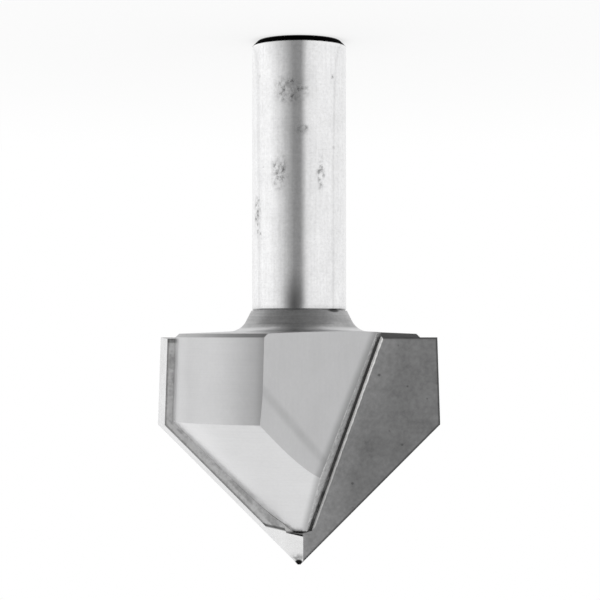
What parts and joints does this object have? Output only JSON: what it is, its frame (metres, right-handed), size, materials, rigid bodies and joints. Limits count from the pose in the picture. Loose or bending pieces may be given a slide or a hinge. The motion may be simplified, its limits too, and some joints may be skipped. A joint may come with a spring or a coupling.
{
  "type": "v groove router bit",
  "caption": "Router bit with a plain cylindrical shank and a pointed winged head that cuts a right-angled V groove, with carbide cutting inserts brazed to a steel body.",
  "frame": {"origin": "centre of the flat end of the shank", "axes": "+Z runs along the axis from the shank end to the cutting point, and insert B is at +X with its cutting face toward +Y"},
  "size_m": [0.0382, 0.0328, 0.0707],
  "materials": {
    "body_steel": "ground and turned, bright, lightly pitted on the shank",
    "carbide": "fine ground sintered carbide, satin, mottled",
    "braze": "silver brazing metal, dull"
  },
  "bodies": {
    "root": {"steel_body": "body_steel", "carbide_insert_a": "carbide", "carbide_insert_b": "carbide", "braze_seam_a": "braze", "braze_seam_b": "braze"}
  },
  "joints": []
}
